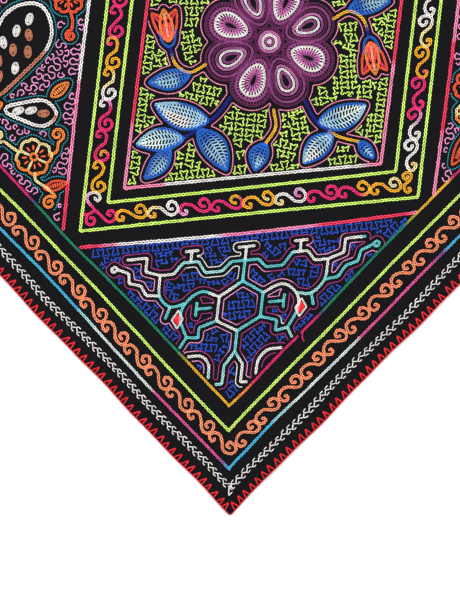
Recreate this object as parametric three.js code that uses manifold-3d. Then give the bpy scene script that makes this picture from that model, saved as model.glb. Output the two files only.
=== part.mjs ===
// An embroidered cotton cloth lying flat. Millimetres, +Z up. X runs along the long sides and Y across them.
// The short sides lean a little, as the cloth is not quite square. The origin is the middle of the underside.
import * as THREE from "three";
import Module from "manifold-3d";

// The cloth
const clothLength = 700;
const clothWidth = 600;
const sideLean = 0.023; // how far a point moves along X for each millimetre along Y
const clothThickness = 1.4;
const cornerRadius = 3;

// Its edge: a narrow turned hem, and a band beside it that lies less flat than the middle
const hemWidth = 8;
const hemThickness = 2.0;
const hemSlope = 1.5;
const bandWidth = 26;
const bandLift = 1.2;
const bandClearance = 0.05; // the flat middle rests a hair lower than the band begins
const edgeWave = 0.6;

// The rows of thick chain stitch, which stand up from the cloth
const rowWidth = 3.4;
const rowCrest = 1.4;
const rowRise = 1.0;
const rowRoot = 0.4;
const rowStep = 42;

// How finely the outline is divided
const arcSteps = 3;
const longSideSteps = 40;
const shortSideSteps = 34;
const hubShift = 55; // the middle of the underside stays inside one facet

const clothColour = "#212022";
const clothRoughness = 0.95;

// The three rows that run all round the border. Each has its distance from the short and the long sides, and how
// far it sways from it, at every swayStep from a corner to the middle of a side.
const swayStep = 49;
const borderRows = [
  {
    fromShortSide: 30.9,
    fromLongSide: 32.4,
    swayByShortSide: [0.7, 0.2, -0.1, -0.6, 0.3, 1.8, 0.3],
    swayByLongSide: [-0.9, 1.2, 2.3, 0.9, 0.2, 0.1, 1.1],
  },
  {
    fromShortSide: 57.6,
    fromLongSide: 58.4,
    swayByShortSide: [0.0, -0.6, -0.9, -0.4, 0.8, 1.9, -1.0],
    swayByLongSide: [0.0, 1.1, 1.9, 2.2, 1.9, 2.5, 3.2],
  },
  {
    fromShortSide: 73.6,
    fromLongSide: 76.0,
    swayByShortSide: [-0.7, 0.2, 0.6, 1.0, 1.5, 1.0, -0.5],
    swayByLongSide: [0.2, 1.0, -0.4, 0.8, 0.6, 2.0, 2.9],
  },
];

// The rhombic rows round the middle, by the places of two corners. The other two lie opposite, turned by half a turn.
const rhombicRows = [
  { leftX: 87.3, leftY: 300.7, lowX: 349.5, lowY: 89.2 },
  { leftX: 126.6, leftY: 301.1, lowX: 351.3, lowY: 122.6 },
  { leftX: 147.7, leftY: 299.5, lowX: 346.0, lowY: 138.1 },
];

// The rows that cut the four corners off the border, again two of four, with how far each bows out
const cornerRows = [
  { fromX: 76.1, fromY: 289.8, toX: 338.5, toY: 79.3, bow: 2.9 },
  { fromX: 361.8, fromY: 79.5, toX: 623.9, toY: 286.8, bow: 1.2 },
];

const wasm = await Module();
wasm.setup();

// A point of the flat design, which counts from one corner of the cloth, in the part's own frame.
function place(designX, designY, height) {
  const y = designY - clothWidth / 2;
  const x = designX - clothLength / 2 + y * sideLean;
  return new THREE.Vector3(x, y, height);
}

// The same point after half a turn of the cloth.
function turned(point) {
  return new THREE.Vector2(clothLength - point.x, clothWidth - point.y);
}

// A solid whose surface runs through a list of closed sections. Two hubs close its ends, or else it runs in a ring.
function skin(sections, hubs) {
  const sectionSize = sections[0].length;
  const vertices = sections.flat();
  const triangles = [];
  const bands = hubs ? sections.length - 1 : sections.length;
  for (let band = 0; band < bands; band += 1) {
    const here = band * sectionSize;
    const there = ((band + 1) % sections.length) * sectionSize;
    for (let i = 0; i < sectionSize; i += 1) {
      const next = (i + 1) % sectionSize;
      triangles.push(here + i, here + next, there + next);
      triangles.push(here + i, there + next, there + i);
    }
  }
  if (hubs) {
    const last = (sections.length - 1) * sectionSize;
    const firstHub = vertices.length;
    vertices.push(hubs[0], hubs[1]);
    for (let i = 0; i < sectionSize; i += 1) {
      const next = (i + 1) % sectionSize;
      triangles.push(firstHub, next, i);
      triangles.push(firstHub + 1, last + i, last + next);
    }
  }
  const vertProperties = new Float32Array(vertices.flatMap((vertex) => vertex.toArray()));
  const triVerts = new Uint32Array(triangles);
  return new wasm.Manifold(new wasm.Mesh({ numProp: 3, vertProperties, triVerts }));
}

// The cloth's outline drawn in by an inset, counter-clockwise, and the same number of points for every inset.
function outline(inset) {
  const halfLength = clothLength / 2 - inset - cornerRadius;
  const halfWidth = clothWidth / 2 - inset - cornerRadius;
  const corners = [
    { x: halfLength, y: -halfWidth, stepsAfter: shortSideSteps },
    { x: halfLength, y: halfWidth, stepsAfter: longSideSteps },
    { x: -halfLength, y: halfWidth, stepsAfter: shortSideSteps },
    { x: -halfLength, y: -halfWidth, stepsAfter: longSideSteps },
  ];
  const points = [];
  corners.forEach((corner, index) => {
    const startAngle = ((index - 1) * Math.PI) / 2;
    for (let step = 0; step <= arcSteps; step += 1) {
      const angle = startAngle + ((step / arcSteps) * Math.PI) / 2;
      const outward = new THREE.Vector2(Math.cos(angle), Math.sin(angle));
      const at = new THREE.Vector2(corner.x, corner.y).addScaledVector(outward, cornerRadius);
      points.push({ at, outward });
    }
    const outward = points.at(-1).outward;
    const following = corners[(index + 1) % corners.length];
    for (let step = 1; step < corner.stepsAfter; step += 1) {
      const at = new THREE.Vector2(corner.x, corner.y);
      at.lerp(new THREE.Vector2(following.x, following.y), step / corner.stepsAfter);
      at.addScaledVector(outward, cornerRadius);
      points.push({ at, outward });
    }
  });
  return points;
}

// One section of the cloth's rim: the outline at an inset and a height, with the edge's unevenness.
function rimSection(inset, height) {
  const points = outline(inset);
  const looseness = 1 - inset / bandWidth;
  return points.map(({ at, outward }, index) => {
    const turn = (index / points.length) * 2 * Math.PI;
    const wave = edgeWave * (Math.sin(19 * turn + 0.8) + 0.5 * Math.sin(43 * turn));
    const lift = bandLift * (0.5 + 0.5 * Math.sin(13 * turn + 1.7 * Math.sin(4 * turn)));
    const edge = at.clone().addScaledVector(outward, wave * looseness);
    const z = height + lift * looseness * looseness;
    return new THREE.Vector3(edge.x + edge.y * sideLean, edge.y, z);
  });
}

// The flat middle that the cloth rests on, a plain four-cornered slab inside the cloth's thickness.
function flatMiddle() {
  const sections = [0, clothThickness / 2].map((height) => [
    place(clothLength - bandWidth, bandWidth, height),
    place(clothLength - bandWidth, clothWidth - bandWidth, height),
    place(bandWidth, clothWidth - bandWidth, height),
    place(bandWidth, bandWidth, height),
  ]);
  const below = new THREE.Vector3(hubShift, hubShift, 0);
  const above = new THREE.Vector3(hubShift, hubShift, clothThickness / 2);
  return skin(sections, [below, above]);
}

// The plain cloth, from the middle of its underside round the edge to the middle of its top.
function sheet() {
  const sections = [
    rimSection(bandWidth, bandClearance),
    rimSection(bandWidth / 2, bandClearance),
    rimSection(1.0, bandClearance),
    rimSection(0, hemThickness / 2),
    rimSection(0.8, hemThickness),
    rimSection(hemWidth, hemThickness),
    rimSection(hemWidth + hemSlope, clothThickness),
    rimSection(bandWidth * 0.65, clothThickness),
    rimSection(bandWidth, clothThickness),
  ];
  const below = new THREE.Vector3(hubShift, hubShift, bandClearance);
  const above = new THREE.Vector3(hubShift, hubShift, clothThickness);
  return skin(sections, [below, above]).add(flatMiddle());
}

// A raised row along points of the flat design. Each of its sections halves the angle between its neighbours.
function raisedRow(points, isRing) {
  const sections = points.map((point, index) => {
    const before = isRing || index > 0 ? points.at(index - 1) : point;
    const after = points[index + 1] ?? (isRing ? points[0] : point);
    const arriving = point.clone().sub(before).normalize();
    const leaving = after.clone().sub(point).normalize();
    const forward = arriving.add(leaving).normalize();
    const straight = leaving.lengthSq() > 0 ? leaving : forward;
    const across = new THREE.Vector2(-forward.y, forward.x);
    across.multiplyScalar(1 / forward.dot(straight));
    const corners = [
      { side: rowWidth / 2, height: clothThickness - rowRoot },
      { side: rowCrest / 2, height: clothThickness + rowRise },
      { side: -rowCrest / 2, height: clothThickness + rowRise },
      { side: -rowWidth / 2, height: clothThickness - rowRoot },
    ];
    return corners.map(({ side, height }) => {
      const at = point.clone().addScaledVector(across, side);
      return place(at.x, at.y, height);
    });
  });
  if (isRing) {
    return skin(sections);
  }
  const ends = [points[0], points.at(-1)].map((end) => place(end.x, end.y, clothThickness));
  return skin(sections, ends);
}

// The sway of a border row at a station along its side, smooth between the table's values.
function swayAt(table, station, sideLength) {
  const fromCorner = Math.min(station, sideLength - station);
  const entry = Math.min(Math.max(fromCorner, 0) / swayStep, table.length - 1);
  const index = Math.min(Math.floor(entry), table.length - 2);
  const share = THREE.MathUtils.smoothstep(entry - index, 0, 1);
  return THREE.MathUtils.lerp(table[index], table[index + 1], share);
}

// Half of a border row, along one long and one short side. The other half is the same after half a turn.
function halfBorder(row) {
  const byShort = (station) => row.fromShortSide + swayAt(row.swayByShortSide, station, clothWidth);
  const byLong = (station) => row.fromLongSide + swayAt(row.swayByLongSide, station, clothLength);
  const points = [];
  const longSteps = Math.round((clothLength - 2 * row.fromShortSide) / rowStep);
  for (let step = 0; step < longSteps; step += 1) {
    const x = THREE.MathUtils.lerp(byShort(0), clothLength - row.fromShortSide, step / longSteps);
    points.push(new THREE.Vector2(x, byLong(x)));
  }
  const shortSteps = Math.round((clothWidth - 2 * row.fromLongSide) / rowStep);
  for (let step = 0; step < shortSteps; step += 1) {
    const y = THREE.MathUtils.lerp(row.fromLongSide, clothWidth - byLong(0), step / shortSteps);
    const inset = row.fromShortSide + swayAt(row.swayByShortSide, clothWidth - y, clothWidth);
    points.push(new THREE.Vector2(clothLength - inset, y));
  }
  return points;
}

// A straight run of points, the last one left out, that bows to its right by the given amount.
function bowedRun(from, to, bow, withEnd) {
  const run = to.clone().sub(from);
  const right = new THREE.Vector2(run.y, -run.x).normalize();
  const steps = Math.round(run.length() / rowStep);
  const points = [];
  for (let step = 0; step < steps + (withEnd ? 1 : 0); step += 1) {
    const share = step / steps;
    const at = from.clone().addScaledVector(run, share);
    points.push(at.addScaledVector(right, bow * Math.sin(Math.PI * share)));
  }
  return points;
}

// Every raised row of the cloth.
function allRows() {
  const rows = [];
  for (const row of borderRows) {
    const half = halfBorder(row);
    rows.push(raisedRow([...half, ...half.map(turned)], true));
  }
  for (const row of rhombicRows) {
    const left = new THREE.Vector2(row.leftX, row.leftY);
    const low = new THREE.Vector2(row.lowX, row.lowY);
    const half = [...bowedRun(left, low, 0, false), ...bowedRun(low, turned(left), 0, false)];
    rows.push(raisedRow([...half, ...half.map(turned)], true));
  }
  for (const row of cornerRows) {
    const from = new THREE.Vector2(row.fromX, row.fromY);
    const to = new THREE.Vector2(row.toX, row.toY);
    const run = bowedRun(from, to, row.bow, true);
    rows.push(raisedRow(run, false), raisedRow(run.map(turned), false));
  }
  return rows;
}

// The whole cloth as one solid.
function embroideredCloth() {
  let solid = sheet();
  for (const row of allRows()) {
    solid = solid.add(row);
  }
  const { vertProperties, triVerts } = solid.getMesh();
  const indexed = new THREE.BufferGeometry();
  indexed.setAttribute("position", new THREE.BufferAttribute(vertProperties, 3));
  indexed.setIndex(new THREE.BufferAttribute(triVerts, 1));
  const geometry = indexed.toNonIndexed();
  geometry.computeVertexNormals();
  return geometry;
}

const material = new THREE.MeshStandardMaterial({
  color: clothColour,
  roughness: clothRoughness,
  metalness: 0,
});
const cloth = new THREE.Mesh(embroideredCloth(), material);
cloth.name = "cloth";

const part = new THREE.Group();
part.add(cloth);

export default part;
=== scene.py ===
"""An embroidered black cotton cloth, 700 by 600 mm, lying flat on a pale floor and seen from straight above.

Every stitch is modelled: rows and scrolls of thick chain stitch, meanders of fine stitches that fill the
panels, feather stitch, and a red edge stitch. Sizes are in millimetres up to the last step, which turns them
into metres. The design counts from the corner that the photo shows lowest. Most of the other half is half a
turn of the one in the photo.
"""
from math import cos, pi, radians, sin, tau

import bpy
import numpy as np
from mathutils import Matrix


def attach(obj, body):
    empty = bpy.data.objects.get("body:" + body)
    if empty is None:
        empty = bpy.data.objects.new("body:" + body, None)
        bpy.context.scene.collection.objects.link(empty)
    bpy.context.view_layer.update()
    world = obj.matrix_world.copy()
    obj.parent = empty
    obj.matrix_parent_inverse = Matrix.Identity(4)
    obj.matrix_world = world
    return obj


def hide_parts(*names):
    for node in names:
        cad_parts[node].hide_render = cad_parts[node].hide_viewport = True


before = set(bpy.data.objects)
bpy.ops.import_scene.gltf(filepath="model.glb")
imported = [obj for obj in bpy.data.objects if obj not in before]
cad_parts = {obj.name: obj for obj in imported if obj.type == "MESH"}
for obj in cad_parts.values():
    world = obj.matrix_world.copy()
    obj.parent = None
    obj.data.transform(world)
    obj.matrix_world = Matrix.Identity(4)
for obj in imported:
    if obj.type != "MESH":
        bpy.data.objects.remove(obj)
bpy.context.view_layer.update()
random = np.random.default_rng(11)

MM = 0.001

# The cloth, as in the frame
LENGTH, WIDTH = 700.0, 600.0
LEAN = 0.023
FACE = 1.4
CORNER_RADIUS = 3.0
HEM_WIDTH, HEM_THICKNESS, HEM_SLOPE = 8.0, 2.0, 1.5
BAND_WIDTH, BAND_LIFT, BAND_CLEARANCE = 26.0, 1.2, 0.05
EDGE_WAVE = 0.6

# How the photo sees it: +X of the cloth points up and to the right
PICTURE_TURN = radians(45.15)
PICTURE_HEIGHT = 601.4
PICTURE_MIDDLE = (-38.7, -259.6)  # from the cloth's middle, to the right and up
CAMERA_HEIGHT = 5.0

# Yarn colours, as the photo shows them
COLOURS = {
    "lime": (206, 242, 112), "coral": (248, 150, 108), "red": (226, 38, 50), "white": (234, 230, 226),
    "sky": (70, 186, 224), "aqua": (168, 224, 222), "pale": (218, 232, 226), "violet": (140, 75, 150),
    "pink": (224, 88, 152), "yellow": (240, 182, 50), "orange": (246, 142, 62), "rose": (242, 60, 98),
    "magenta": (218, 42, 115), "plum": (85, 60, 120), "green": (30, 136, 104), "olive": (165, 170, 50),
    "soft pink": (244, 140, 178), "hot pink": (234, 46, 118), "gold": (242, 175, 40),
    "cream": (242, 224, 160), "lilac": (230, 148, 200), "cyan": (106, 206, 212), "blue": (40, 84, 208),
    "light blue": (158, 200, 224), "mid blue": (34, 98, 194), "navy": (22, 30, 140),
    "dark purple": (98, 34, 82), "mauve": (152, 74, 134), "orchid": (202, 116, 178), "teal": (38, 152, 172),
    "tan": (192, 122, 92), "scarlet": (240, 92, 58), "purple": (164, 52, 124), "peach": (250, 190, 150),
}


def linear(colour):
    """A colour in linear light."""
    share = np.array(colour) / 255.0
    return np.where(share <= 0.04045, share / 12.92, ((share + 0.055) / 1.055) ** 2.4)


YARN = {name: linear(colour) for name, colour in COLOURS.items()}


def place(x, y):
    """Points of the design, in the cloth's plane with its origin in the middle."""
    x, y = np.asarray(x, float), np.asarray(y, float) - WIDTH / 2
    return np.stack([x - LENGTH / 2 + y * LEAN, y], -1)


def picture(points):
    """The same for points that count from the middle to the photo's right and up."""
    points = np.asarray(points, float)
    right, up = points[..., 0], points[..., 1]
    turn_cos, turn_sin = cos(PICTURE_TURN), sin(PICTURE_TURN)
    return np.stack([right * turn_cos + up * turn_sin, up * turn_cos - right * turn_sin], -1)


def sides_of(polygon):
    """The sides of a closed outline, as pairs of corners."""
    return zip(polygon, np.roll(polygon, -1, axis=0))


def leftward(run):
    return np.array([-run[1], run[0]])


def heading(angle):
    return np.array([cos(angle), sin(angle)])


def direction(start, end):
    """The unit vector from a point to another, and the one to its left."""
    run = (end - start) / np.hypot(*(end - start))
    return run, leftward(run)


def rotated(x, y, angle):
    return np.stack([x * cos(angle) - y * sin(angle), x * sin(angle) + y * cos(angle)], -1)


def corners_at(inset):
    """The corners of the cloth's outline at an inset, in its plane, from the photo's lowest to the right."""
    x, y = LENGTH - inset, WIDTH - inset
    return place(*np.array([(inset, inset), (x, inset), (x, y), (inset, y)]).T)


def dense(points, step=0.8, closed=False):
    """The points of a line, a short step apart."""
    points = np.asarray(points, float)
    if closed:
        points = np.vstack([points, points[:1]])
    gaps = np.hypot(*np.diff(points, axis=0).T)
    points = points[np.r_[True, gaps > 1e-6]]
    along = np.r_[0, np.cumsum(np.hypot(*np.diff(points, axis=0).T))]
    at = np.linspace(0, along[-1], max(2, round(along[-1] / step) + 1))
    return np.stack([np.interp(at, along, points[:, k]) for k in (0, 1)], -1)


def curve(points, closed=False, per_span=8):
    """A smooth line through points."""
    points = np.asarray(points, float)
    if closed:
        ring = np.vstack([points[-1:], points, points[:2]])
    else:
        ring = np.vstack([2 * points[0] - points[1], points, 2 * points[-1] - points[-2]])
    t = np.linspace(0, 1, per_span, endpoint=False)[:, None]
    spans = []
    for before, a, b, after in zip(ring, ring[1:], ring[2:], ring[3:]):
        spans.append(0.5 * (2 * a + (b - before) * t + (2 * before - 5 * a + 4 * b - after) * t**2
                            + (3 * a - before - 3 * b + after) * t**3))
    if not closed:
        spans.append(points[-1:])
    return np.vstack(spans)


class Path:
    """A line in the cloth's plane, which gives the point at a length along it and a distance to its left."""

    def __init__(self, points, closed=False, step=0.8):
        self.points = dense(points, step, closed)
        steps = np.diff(self.points, axis=0)
        sizes = np.hypot(*steps.T)
        self.along = np.r_[0, np.cumsum(sizes)]
        self.length = self.along[-1]
        self.middles = (self.along[1:] + self.along[:-1]) / 2
        self.directions = steps / sizes[:, None]

    def at(self, along, left=0.0):
        held = np.clip(along, 0, self.length)
        x, y = (np.interp(held, self.along, self.points[:, k]) for k in (0, 1))
        dx, dy = (np.interp(held, self.middles, self.directions[:, k]) for k in (0, 1))
        size = np.hypot(dx, dy) + 1e-9
        dx, dy = dx / size, dy / size
        past = along - held
        return np.stack([x + dx * past - dy * left, y + dy * past + dx * left], -1)


def shade(stops, along, blend=8.0):
    """The colour of a yarn at lengths along it. Stops are (start, colour), and a change takes a short
    stretch."""
    knots, colours = [-1e6], [YARN[stops[0][1]]]
    for (_, before), (start, after) in zip(stops, stops[1:]):
        knots += [start - blend / 2, start + blend / 2]
        colours += [YARN[before], YARN[after]]
    colours = np.array(colours)
    return np.stack([np.interp(along, knots, colours[:, k]) for k in range(3)], -1)


def cycle(stops, length):
    """A yarn whose colours come round again after a length."""
    whole = list(stops) + [(length, stops[0][1])]
    return lambda along: shade(whole, np.mod(along, length))


def runs(*stops):
    """A yarn with each of its colours once, for a row that starts at length 0."""
    return lambda along: shade(stops, along)


def plain(name):
    """A yarn of one colour."""
    return lambda along: np.broadcast_to(YARN[name], (*np.shape(along), 3))


class Stitching:
    """The stitches of one piece."""

    def __init__(self, name):
        self.name = name
        self.vertices, self.faces, self.colours, self.yarn = [], [], [], []
        self.count = 0

    def add(self, vertices, quads, colours, yarn):
        """Adds stitches of one shape. vertices and colours are stitches x points x 3. yarn is points x 2:
        how far each point is along its strand, and its share of the way across."""
        stitches, points = vertices.shape[:2]
        starts = self.count + points * np.arange(stitches)
        self.vertices.append(vertices.reshape(-1, 3))
        self.faces.append((starts[:, None, None] + quads[None]).reshape(-1, 4))
        self.colours.append(np.broadcast_to(colours, vertices.shape).reshape(-1, 3))
        self.yarn.append(np.tile(yarn, (stitches, 1)))
        self.count += stitches * points


# A strand's section, as (across, up) shares from one side to the other
LOW_ROUND = [(-1.0, 0.0), (-0.5, 0.85), (0.5, 0.85), (1.0, 0.0)]


def ribbons(*strands):
    """A stitch's shape: its points, its quads and each point's place on the yarn. A strand is a list of
    sections (along, left, half width, height)."""
    points, quads, yarn = [], [], []
    wide = len(LOW_ROUND)
    for strand in strands:
        start = len(points)
        for along, left, half, height in strand:
            for across, up in LOW_ROUND:
                points.append((along, left + across * half, up * height))
                yarn.append((along, across))
        for section in range(len(strand) - 1):
            for side in range(wide - 1):
                corner = start + section * wide + side
                quads.append((corner, corner + wide, corner + wide + 1, corner + 1))
    return np.array(points), np.array(quads), np.array(yarn)


# One link of chain stitch, for a link length and a width of 1: its strands come up at the narrow start, over
# the end of the link before, swell, and close again under the next.
LINK_STRAND = [(-0.14, 0.05, 0.12, 0.80), (0.12, 0.18, 0.155, 1.00), (0.45, 0.30, 0.18, 0.92),
               (0.82, 0.29, 0.18, 0.74), (1.08, 0.14, 0.15, 0.55)]
LINK = ribbons(LINK_STRAND, [(along, -left, half, up) for along, left, half, up in LINK_STRAND])
# Short straight stitches, for a length and a width of 1
STITCH = ribbons(
    [(0.0, 0.0, 0.30, 0.25), (0.22, 0.0, 0.50, 0.90), (0.75, 0.0, 0.50, 0.90), (0.97, 0.0, 0.30, 0.25)])
FINE = ribbons([(0.0, 0.0, 0.34, 0.35), (0.46, 0.0, 0.50, 1.00), (0.94, 0.0, 0.34, 0.35)])
# The same with a gap, so that a thin line of it looks dotted
DOT = ribbons([(0.0, 0.0, 0.34, 0.35), (0.32, 0.0, 0.50, 1.00), (0.64, 0.0, 0.34, 0.35)])

SINK = 0.25  # a stitch's sides run this far into the cloth
UNEVEN, ASTRAY, TINTED = 0.06, 0.03, 0.05  # how much the stitches of a line differ in size, place and colour
STRAIGHT_UNEVEN = 0.08
STRAIGHT_TWIST = 4.0  # the length of yarn whose twist shows on a straight stitch


def sew(piece, path, colour, shape, width, pitch, rise, start):
    """Sews stitches of a shape along a path, and returns how much of its yarn is used by then."""
    points, quads, yarn = shape
    count = max(1, round(path.length / pitch))
    step = path.length / count
    starts = step * np.arange(count)
    widths = width * (1 + UNEVEN * random.standard_normal((count, 1)))
    heights = rise * (1 + UNEVEN * random.standard_normal((count, 1)))
    aside = ASTRAY * width * random.standard_normal((count, 1))
    along = starts[:, None] + points[None, :, 0] * step
    flat = path.at(along, points[None, :, 1] * widths + aside)
    up = FACE - SINK + points[None, :, 2] * (heights + SINK)
    vertices = np.concatenate([flat, up[..., None]], -1)
    tints = colour(starts + start)[:, None, :] * (1 + TINTED * random.standard_normal((count, 1, 1)))
    piece.add(vertices, quads, np.clip(tints, 0, 1), yarn * (step, 1.0))
    return start + path.length


def chain(piece, points, colour, width=3.6, pitch=3.8, closed=False, rise=1.0, start=0.0):
    """Sews a row of chain stitch along a line, and returns how much of its yarn is used by then."""
    return sew(piece, Path(points, closed), colour, LINK, width, pitch, rise, start)


def fine(piece, points, colour, width=1.3, pitch=2.3, closed=False, rise=0.6, start=0.0, shape=FINE):
    """Sews a line of fine stitches."""
    sew(piece, Path(points, closed, step=0.5), colour, shape, width, pitch, rise, start)


def straight(piece, starts, ends, colours, width=1.5, rise=0.8):
    """Sews single straight stitches between pairs of points, in one colour or one each."""
    starts, ends = np.asarray(starts, float), np.asarray(ends, float)
    points, quads, yarn = STITCH
    count = len(starts)
    run = ends - starts
    size = np.hypot(*run.T)[:, None]
    left = np.stack([-run[:, 1], run[:, 0]], -1) / size
    widths = width * (1 + STRAIGHT_UNEVEN * random.standard_normal((count, 1)))
    flat = (starts[:, None] + run[:, None] * points[None, :, :1]
            + left[:, None] * (points[None, :, 1] * widths)[..., None])
    up = np.broadcast_to(FACE - SINK + points[:, 2] * (rise + SINK), flat.shape[:2])
    vertices = np.concatenate([flat, up[..., None]], -1)
    tints = np.broadcast_to(colours, (count, 3))[:, None, :]
    tints = tints * (1 + TINTED * random.standard_normal((count, 1, 1)))
    piece.add(vertices, quads, np.clip(tints, 0, 1), yarn * (STRAIGHT_TWIST, 1.0))


def inside(points, polygon):
    """Which points lie in a polygon."""
    x, y = points[..., 0], points[..., 1]
    result = np.zeros(x.shape, bool)
    for (x0, y0), (x1, y1) in sides_of(polygon):
        crosses = (y0 > y) != (y1 > y)
        result ^= crosses & (x < (x1 - x0) * (y - y0) / (y1 - y0 + 1e-12) + x0)
    return result


def edge_distance(points, polygon):
    """How far points lie from a polygon's sides."""
    best = np.full(points.shape[:-1], 1e9)
    for a, b in sides_of(polygon):
        run = b - a
        share = np.clip(((points - a) @ run) / (run @ run), 0, 1)
        best = np.minimum(best, np.hypot(*np.moveaxis(points - a - share[..., None] * run, -1, 0)))
    return best


class Field:
    """The distance from the drawn lines, up to a reach, over a grid on the cloth."""
    CELL = 0.7
    LEAST_POINTS, SMOOTHINGS = 8, 3  # of a contour

    def __init__(self, polygon, reach=10.0):
        self.polygon = np.asarray(polygon, float)
        self.reach = reach
        self.low = self.polygon.min(0) - reach
        size = np.ceil((self.polygon.max(0) + reach - self.low) / self.CELL).astype(int) + 1
        self.value = np.full((size[1], size[0]), float(reach))

    def line(self, points, closed=False):
        """Draws a line."""
        wide = int(self.reach / self.CELL) + 1
        rows, columns = self.value.shape
        for x, y in dense(points, self.CELL, closed):
            i, j = int((x - self.low[0]) / self.CELL), int((y - self.low[1]) / self.CELL)
            i0, i1 = max(i - wide, 0), min(i + wide + 1, columns)
            j0, j1 = max(j - wide, 0), min(j + wide + 1, rows)
            if i0 >= i1 or j0 >= j1:
                continue
            dx = self.low[0] + self.CELL * np.arange(i0, i1) - x
            dy = self.low[1] + self.CELL * np.arange(j0, j1) - y
            window = self.value[j0:j1, i0:i1]
            np.minimum(window, np.hypot(dx[None], dy[:, None]), out=window)

    def solid(self, polygon):
        """Draws a closed shape, whose inside counts as drawn too."""
        polygon = np.asarray(polygon, float)
        self.line(polygon, closed=True)
        rows, columns = self.value.shape
        low = np.maximum(((polygon.min(0) - self.low) / self.CELL).astype(int), 0)
        high = np.minimum(((polygon.max(0) - self.low) / self.CELL).astype(int) + 2, (columns, rows))
        if (low >= high).any():
            return
        x = self.low[0] + self.CELL * np.arange(low[0], high[0])
        y = self.low[1] + self.CELL * np.arange(low[1], high[1])
        window = self.value[low[1]:high[1], low[0]:high[0]]
        window[inside(np.stack(np.meshgrid(x, y), -1), polygon)] = 0.0

    def at(self, points):
        """The distance at points."""
        place_in = (points - self.low) / self.CELL
        rows, columns = self.value.shape
        i = np.clip(place_in[..., 0].astype(int), 0, columns - 2)
        j = np.clip(place_in[..., 1].astype(int), 0, rows - 2)
        s, t = np.clip(place_in[..., 0] - i, 0, 1), np.clip(place_in[..., 1] - j, 0, 1)
        value = self.value
        one = value[j, i] * (1 - s) + value[j, i + 1] * s
        other = value[j + 1, i] * (1 - s) + value[j + 1, i + 1] * s
        return one * (1 - t) + other * t

    def contours(self, level):
        """The lines that keep one distance from all that is drawn."""
        above = self.value > level

        def crossing(j, i, along_x):
            a = self.value[j, i]
            b = self.value[j, i + 1] if along_x else self.value[j + 1, i]
            share = (level - a) / (b - a)
            return (i + share, j) if along_x else (i, j + share)

        corner_sum = above[:-1, :-1].astype(int) + above[:-1, 1:] + above[1:, :-1] + above[1:, 1:]
        points, links = {}, {}
        for j, i in zip(*np.nonzero((corner_sum > 0) & (corner_sum < 4))):
            edges = []
            for key, one, other in (((j, i, True), above[j, i], above[j, i + 1]),
                                    ((j, i + 1, False), above[j, i + 1], above[j + 1, i + 1]),
                                    ((j + 1, i, True), above[j + 1, i], above[j + 1, i + 1]),
                                    ((j, i, False), above[j, i], above[j + 1, i])):
                if one != other:
                    edges.append(key)
                    if key not in points:
                        points[key] = crossing(*key)
            for a, b in zip(edges[::2], edges[1::2]):
                links.setdefault(a, []).append(b)
                links.setdefault(b, []).append(a)
        lines, used = [], set()
        for first in sorted(links, key=lambda key: len(links[key])):
            if first in used:
                continue
            line, here = [], first
            while here is not None:
                used.add(here)
                line.append(points[here])
                here = next((key for key in links[here] if key not in used), None)
            line = self.low + self.CELL * np.array(line)
            if len(line) > self.LEAST_POINTS:
                for _ in range(self.SMOOTHINGS):
                    line[1:-1] = (line[:-2] + 2 * line[1:-1] + line[2:]) / 4
                lines.append(line)
        return lines


def kept_runs(points, keep, least):
    """The stretches of a line whose points are kept, if they are long enough."""
    stretches = []
    marks = np.flatnonzero(np.diff(np.r_[False, keep, False].astype(int)))
    for start, end in zip(marks[::2], marks[1::2]):
        stretch = points[start:end]
        if len(stretch) > 2 and np.hypot(*np.diff(stretch, axis=0).T).sum() >= least:
            stretches.append(stretch)
    return stretches


# How far aside a meander's leg stands at shares of its height, counted in ears
EARED_LEG = ((0.0, 0.15), (0.13, 1.2), (0.30, 0.55), (0.42, -0.35), (0.58, 0.35), (0.70, -0.55),
             (0.87, -1.2), (1.0, -0.15))
ROUND_LEG = ((0.12, 0.9), (0.34, 0.9), (0.66, -0.9), (0.88, -0.9))
# Short bent lines that fill a gap, for a size of 1
HOOK_SHAPES = ([(-0.5, -0.35), (-0.45, 0.3), (0.0, 0.4), (0.45, 0.3), (0.5, -0.35)],
               [(-0.55, -0.3), (-0.2, -0.4), (-0.05, 0.0), (0.2, 0.4), (0.55, 0.3)],
               [(-0.5, 0.0), (-0.17, 0.14), (0.17, -0.14), (0.5, 0.0)])
SHORT_ROWS = ((5, 1.0, 2500), (4, 0.85, 4000), (3, 0.7, 7000), (2, 0.6, 7000))  # (legs, size, tries)
HOOKS = ((7.5, 5000), (5.5, 7000))  # (size, tries)
SPOT_GAP = 2.4  # the room that a short row or a hook needs round its middle


def meander(legs, half, ear, dip):
    """A line of upright legs (along, from, to) that are joined in turn at the top and the bottom. Their ends
    bulge out like ears, and each join dips in, or swells out if dip is negative."""
    points = []
    for number, (along, start, end) in enumerate(legs):
        for share, aside in EARED_LEG if dip > 0 else ROUND_LEG:
            points.append((along + aside * ear, start + (end - start) * share))
        if number < len(legs) - 1:
            points.append((along + half / 2, end - dip * np.sign(end - start)))
    points = np.array(points)
    return dense(curve(points + random.normal(0, 0.2, points.shape), per_span=4), 0.5)


def zigzag(run):
    """Legs that go up and down in turn, from the room (along, low, high) that each of them has."""
    rising = random.integers(0, 2) == 1
    legs, start = [], run[0][1] if rising else run[0][2]
    for here, after in zip(run, [*run[1:], run[-1]]):
        end = min(here[2], after[2]) if rising else max(here[1], after[1])
        legs.append((here[0], start, end))
        start, rising = end, not rising
    return legs


def hook(size):
    """A short bent line, turned at random."""
    line = np.array(HOOK_SHAPES[random.integers(0, 3)]) * size
    axis = heading(random.uniform(0, tau))
    return dense(curve(line[:, :1] * axis + line[:, 1:] * leftward(axis), per_span=5), 0.5)


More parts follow.
